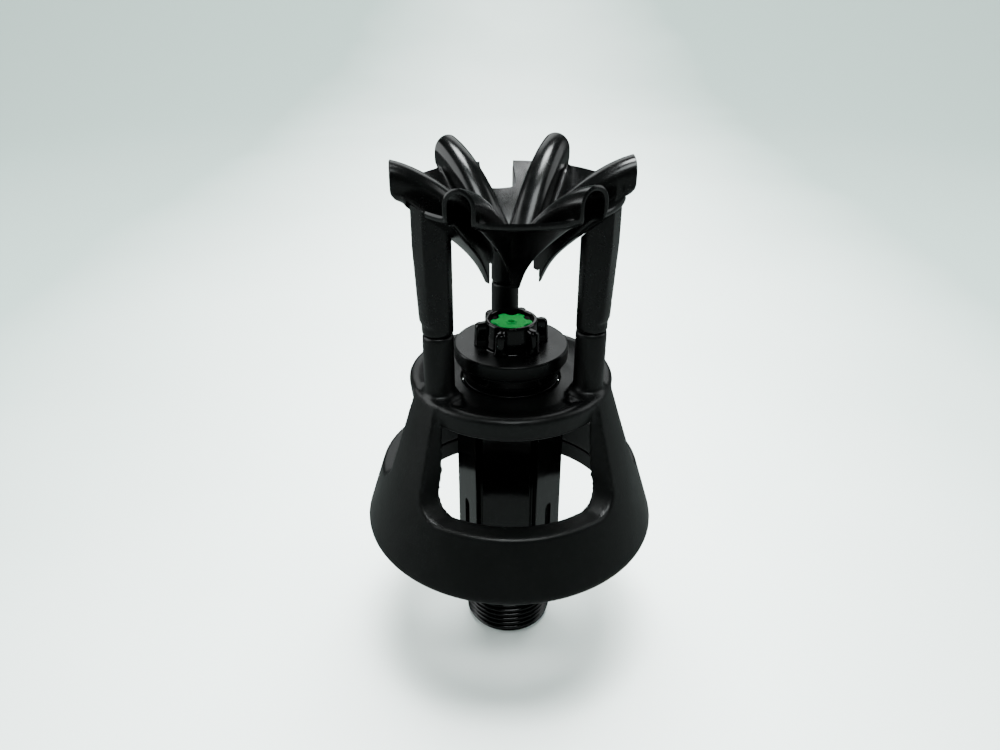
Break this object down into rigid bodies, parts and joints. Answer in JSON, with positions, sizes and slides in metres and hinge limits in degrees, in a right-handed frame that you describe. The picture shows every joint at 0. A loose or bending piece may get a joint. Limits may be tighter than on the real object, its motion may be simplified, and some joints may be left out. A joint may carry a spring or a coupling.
{
  "type": "wobbling sprinkler",
  "caption": "Low-pressure wobbling sprinkler: threaded inlet, ribbed column, winged nozzle cap, channelled deflector on legs over a weighted open cage.",
  "frame": {"origin": "centre of the inlet's threaded end face, on the main axis", "axes": "+Z along the main axis from the threaded inlet towards the deflector, -Y towards the open side between the left and right legs"},
  "size_m": [0.0836, 0.0836, 0.1446],
  "materials": {
    "gloss_black": "polished moulded plastic",
    "satin_black": "fine spark-eroded texture",
    "deflector_black": "smooth satin-gloss moulded plastic",
    "white_plastic": "natural bearing plastic",
    "green_plastic": "bright moulded plastic",
    "rubber": "matt",
    "steel": "turned"
  },
  "bodies": {
    "riser": {"inlet_adapter": "gloss_black", "inlet_seal": "rubber", "riser_column": "gloss_black", "flow_straightener": "white_plastic", "lower_race": "steel", "upper_race": "gloss_black", "retaining_flange": "gloss_black", "nozzle_seal": "rubber"},
    "nozzle": {"nozzle_cap": "gloss_black", "nozzle_insert": "green_plastic"},
    "bearing": {"bearing_ring": "satin_black"},
    "bushing": {"hub_bushing": "satin_black"},
    "wobbler": {"cage": "satin_black", "weight_ring": "steel", "weight_cover": "satin_black", "deflector": "deflector_black", "leg_left": "satin_black", "leg_right": "satin_black", "leg_back": "satin_black", "leg_screw_left": "steel", "leg_screw_right": "steel", "leg_screw_back": "steel"}
  },
  "joints": [
    {"name": "nozzle_turn", "type": "hinge", "parent": "riser", "child": "nozzle", "pos_m": [0, 0, 0.0956], "axis": [0, 0, 1], "range_deg": [0, 90]},
    {"name": "orbit", "type": "hinge", "parent": "riser", "child": "bearing", "pos_m": [0, 0, 0.0837], "axis": [0, 0, 1], "continuous": true},
    {"name": "tilt", "type": "hinge", "parent": "bearing", "child": "bushing", "pos_m": [0, 0, 0.0837], "axis": [1, 0, 0], "range_deg": [-6, 6]},
    {"name": "spin", "type": "hinge", "parent": "bushing", "child": "wobbler", "pos_m": [0, 0, 0.0837], "axis": [0, 0, 1], "continuous": true}
  ],
  "couplings": [
    {"joint": "spin", "follows": "orbit", "ratio": -0.979}
  ]
}
